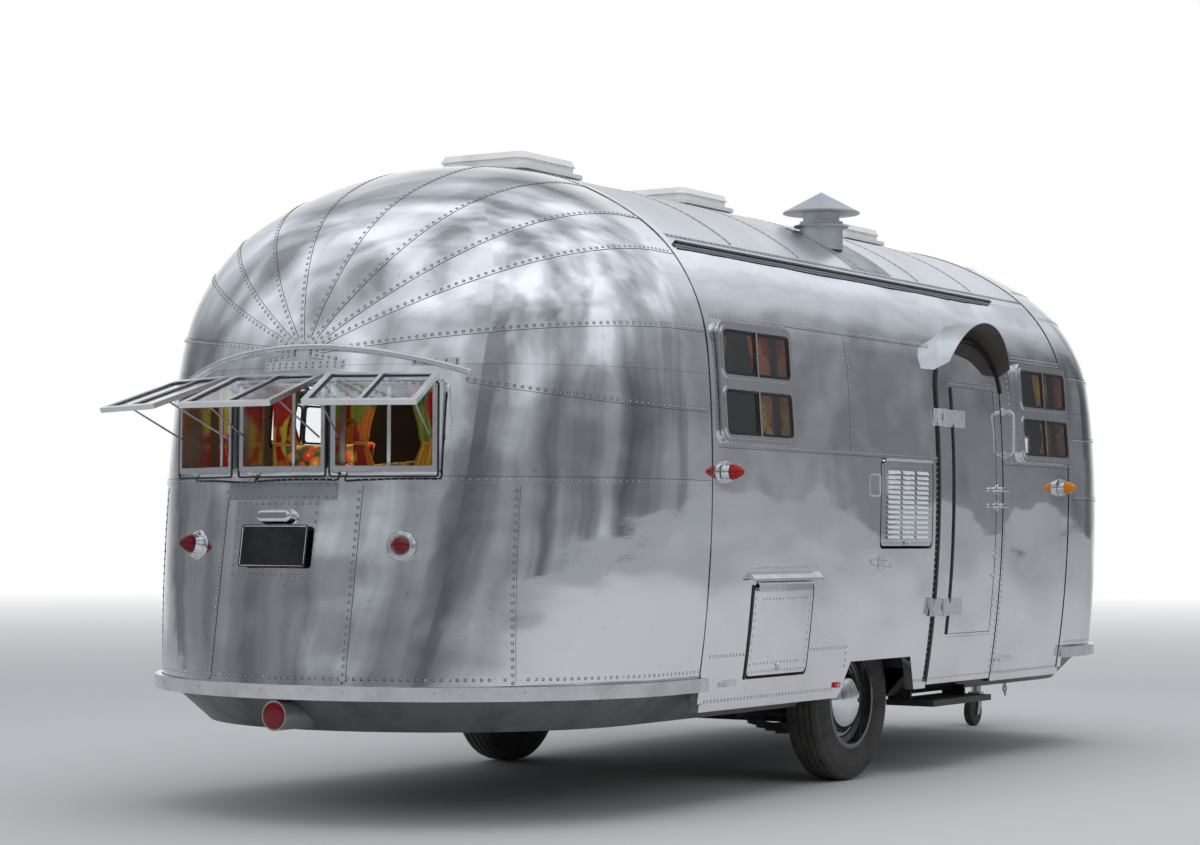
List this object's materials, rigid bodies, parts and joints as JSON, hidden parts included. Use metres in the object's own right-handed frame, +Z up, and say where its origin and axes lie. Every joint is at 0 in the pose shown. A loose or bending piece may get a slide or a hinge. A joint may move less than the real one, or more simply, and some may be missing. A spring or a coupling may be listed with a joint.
{
  "type": "travel caravan",
  "caption": "Towed travel caravan with a rounded riveted aluminium body, awning windows, entrance door, road wheels and a jockey wheel on its drawbar.",
  "frame": {"origin": "on the ground, under the middle of the whole trailer's length and width", "axes": "+X forward to the hitch, +Y to the left side, +Z up; the entrance door is on the -Y side"},
  "size_m": [7.0074, 2.3666, 2.5461],
  "materials": {
    "aluminium_skin": "polished, riveted",
    "belly_aluminium": "dull",
    "bright_trim": "satin",
    "chrome": "polished",
    "black_steel": "satin black",
    "zinc_steel": "zinc plated",
    "wood_floor": "varnished",
    "birch_wood": "varnished",
    "clear_glass": "clear",
    "red_lens": "gloss",
    "plate_black": "gloss, blank",
    "pale_plastic": "matte",
    "cushion_fabric": "woven",
    "curtain_fabric": "printed cotton",
    "tyre_rubber": "matte",
    "black_rubber": "matte",
    "wheel_paint": "gloss black"
  },
  "bodies": {
    "body": {"floor": "wood_floor", "belly_pan": "belly_aluminium", "wall_left": "aluminium_skin", "wall_right": "aluminium_skin", "roof": "aluminium_skin", "rear_cap_lower": "aluminium_skin", "rear_cap_upper": "aluminium_skin", "front_cap_lower": "aluminium_skin", "front_cap_upper": "aluminium_skin", "rub_rails": "bright_trim", "wheel_housings": "belly_aluminium", "chassis_frame": "black_steel", "coupler": "black_steel", "jockey_post": "zinc_steel", "axle": "black_steel", "leaf_springs": "black_steel", "awning_rails": "bright_trim", "door_hood": "bright_trim", "side_window_frames": "bright_trim", "side_window_glass": "clear_glass", "rear_window_frames": "bright_trim", "front_window_frames": "bright_trim", "rear_sashes": "bright_trim", "front_sashes": "bright_trim", "rear_sash_glass": "clear_glass", "front_sash_glass": "clear_glass", "tail_lamp_bezels": "chrome", "tail_lamp_lenses": "red_lens", "marker_bases": "chrome", "marker_lenses": "red_lens", "number_plate": "plate_black", "plate_lamp": "chrome", "carrier_tube": "zinc_steel", "roof_hatches": "pale_plastic", "flue_stack": "bright_trim", "entry_step": "black_steel", "lounge_base": "birch_wood", "lounge_cushion": "cushion_fabric", "belly_wraps": "belly_aluminium", "side_window_sashes": "bright_trim", "sash_stays": "zinc_steel", "drip_rails": "bright_trim", "wall_fittings": "bright_trim", "safety_chains": "zinc_steel", "curtain_rods": "zinc_steel", "curtains": "curtain_fabric", "loose_cushion": "cushion_fabric"},
    "door": {"door": "aluminium_skin", "door_hinges": "bright_trim", "door_handles": "chrome"},
    "hatch": {"hatch": "aluminium_skin"},
    "vent_panel": {"vent_panel": "aluminium_skin"},
    "wheel_left": {"tyre_left": "tyre_rubber", "rim_left": "wheel_paint", "hubcap_left": "chrome"},
    "wheel_right": {"tyre_right": "tyre_rubber", "rim_right": "wheel_paint", "hubcap_right": "chrome"},
    "jockey_caster": {"jockey_fork": "zinc_steel"},
    "jockey_wheel": {"jockey_wheel": "black_rubber"}
  },
  "joints": [
    {"name": "wheel_left_spin", "type": "hinge", "parent": "body", "child": "wheel_left", "pos_m": [-0.459, 0.842, 0.338], "axis": [0, 1, 0], "continuous": true},
    {"name": "wheel_right_spin", "type": "hinge", "parent": "body", "child": "wheel_right", "pos_m": [-0.459, -0.842, 0.338], "axis": [0, 1, 0], "continuous": true},
    {"name": "jockey_swivel", "type": "hinge", "parent": "body", "child": "jockey_caster", "pos_m": [2.8921, 0, 0.3], "axis": [0, 0, 1], "continuous": true},
    {"name": "jockey_spin", "type": "hinge", "parent": "jockey_caster", "child": "jockey_wheel", "pos_m": [2.8461, 0, 0.08], "axis": [0, 1, 0], "continuous": true},
    {"name": "door_swing", "type": "hinge", "parent": "body", "child": "door", "pos_m": [0.029, -1.117, 1.15], "axis": [0, 0, -1], "range_deg": [0, 170]},
    {"name": "hatch_lift", "type": "hinge", "parent": "body", "child": "hatch", "pos_m": [-1.389, -1.09405, 0.848], "axis": [1, 0, 0], "range_deg": [-85, 0]},
    {"name": "vent_panel_lift", "type": "hinge", "parent": "body", "child": "vent_panel", "pos_m": [-0.307, -1.10779, 1.354], "axis": [1, 0, 0], "range_deg": [-85, 0]}
  ]
}
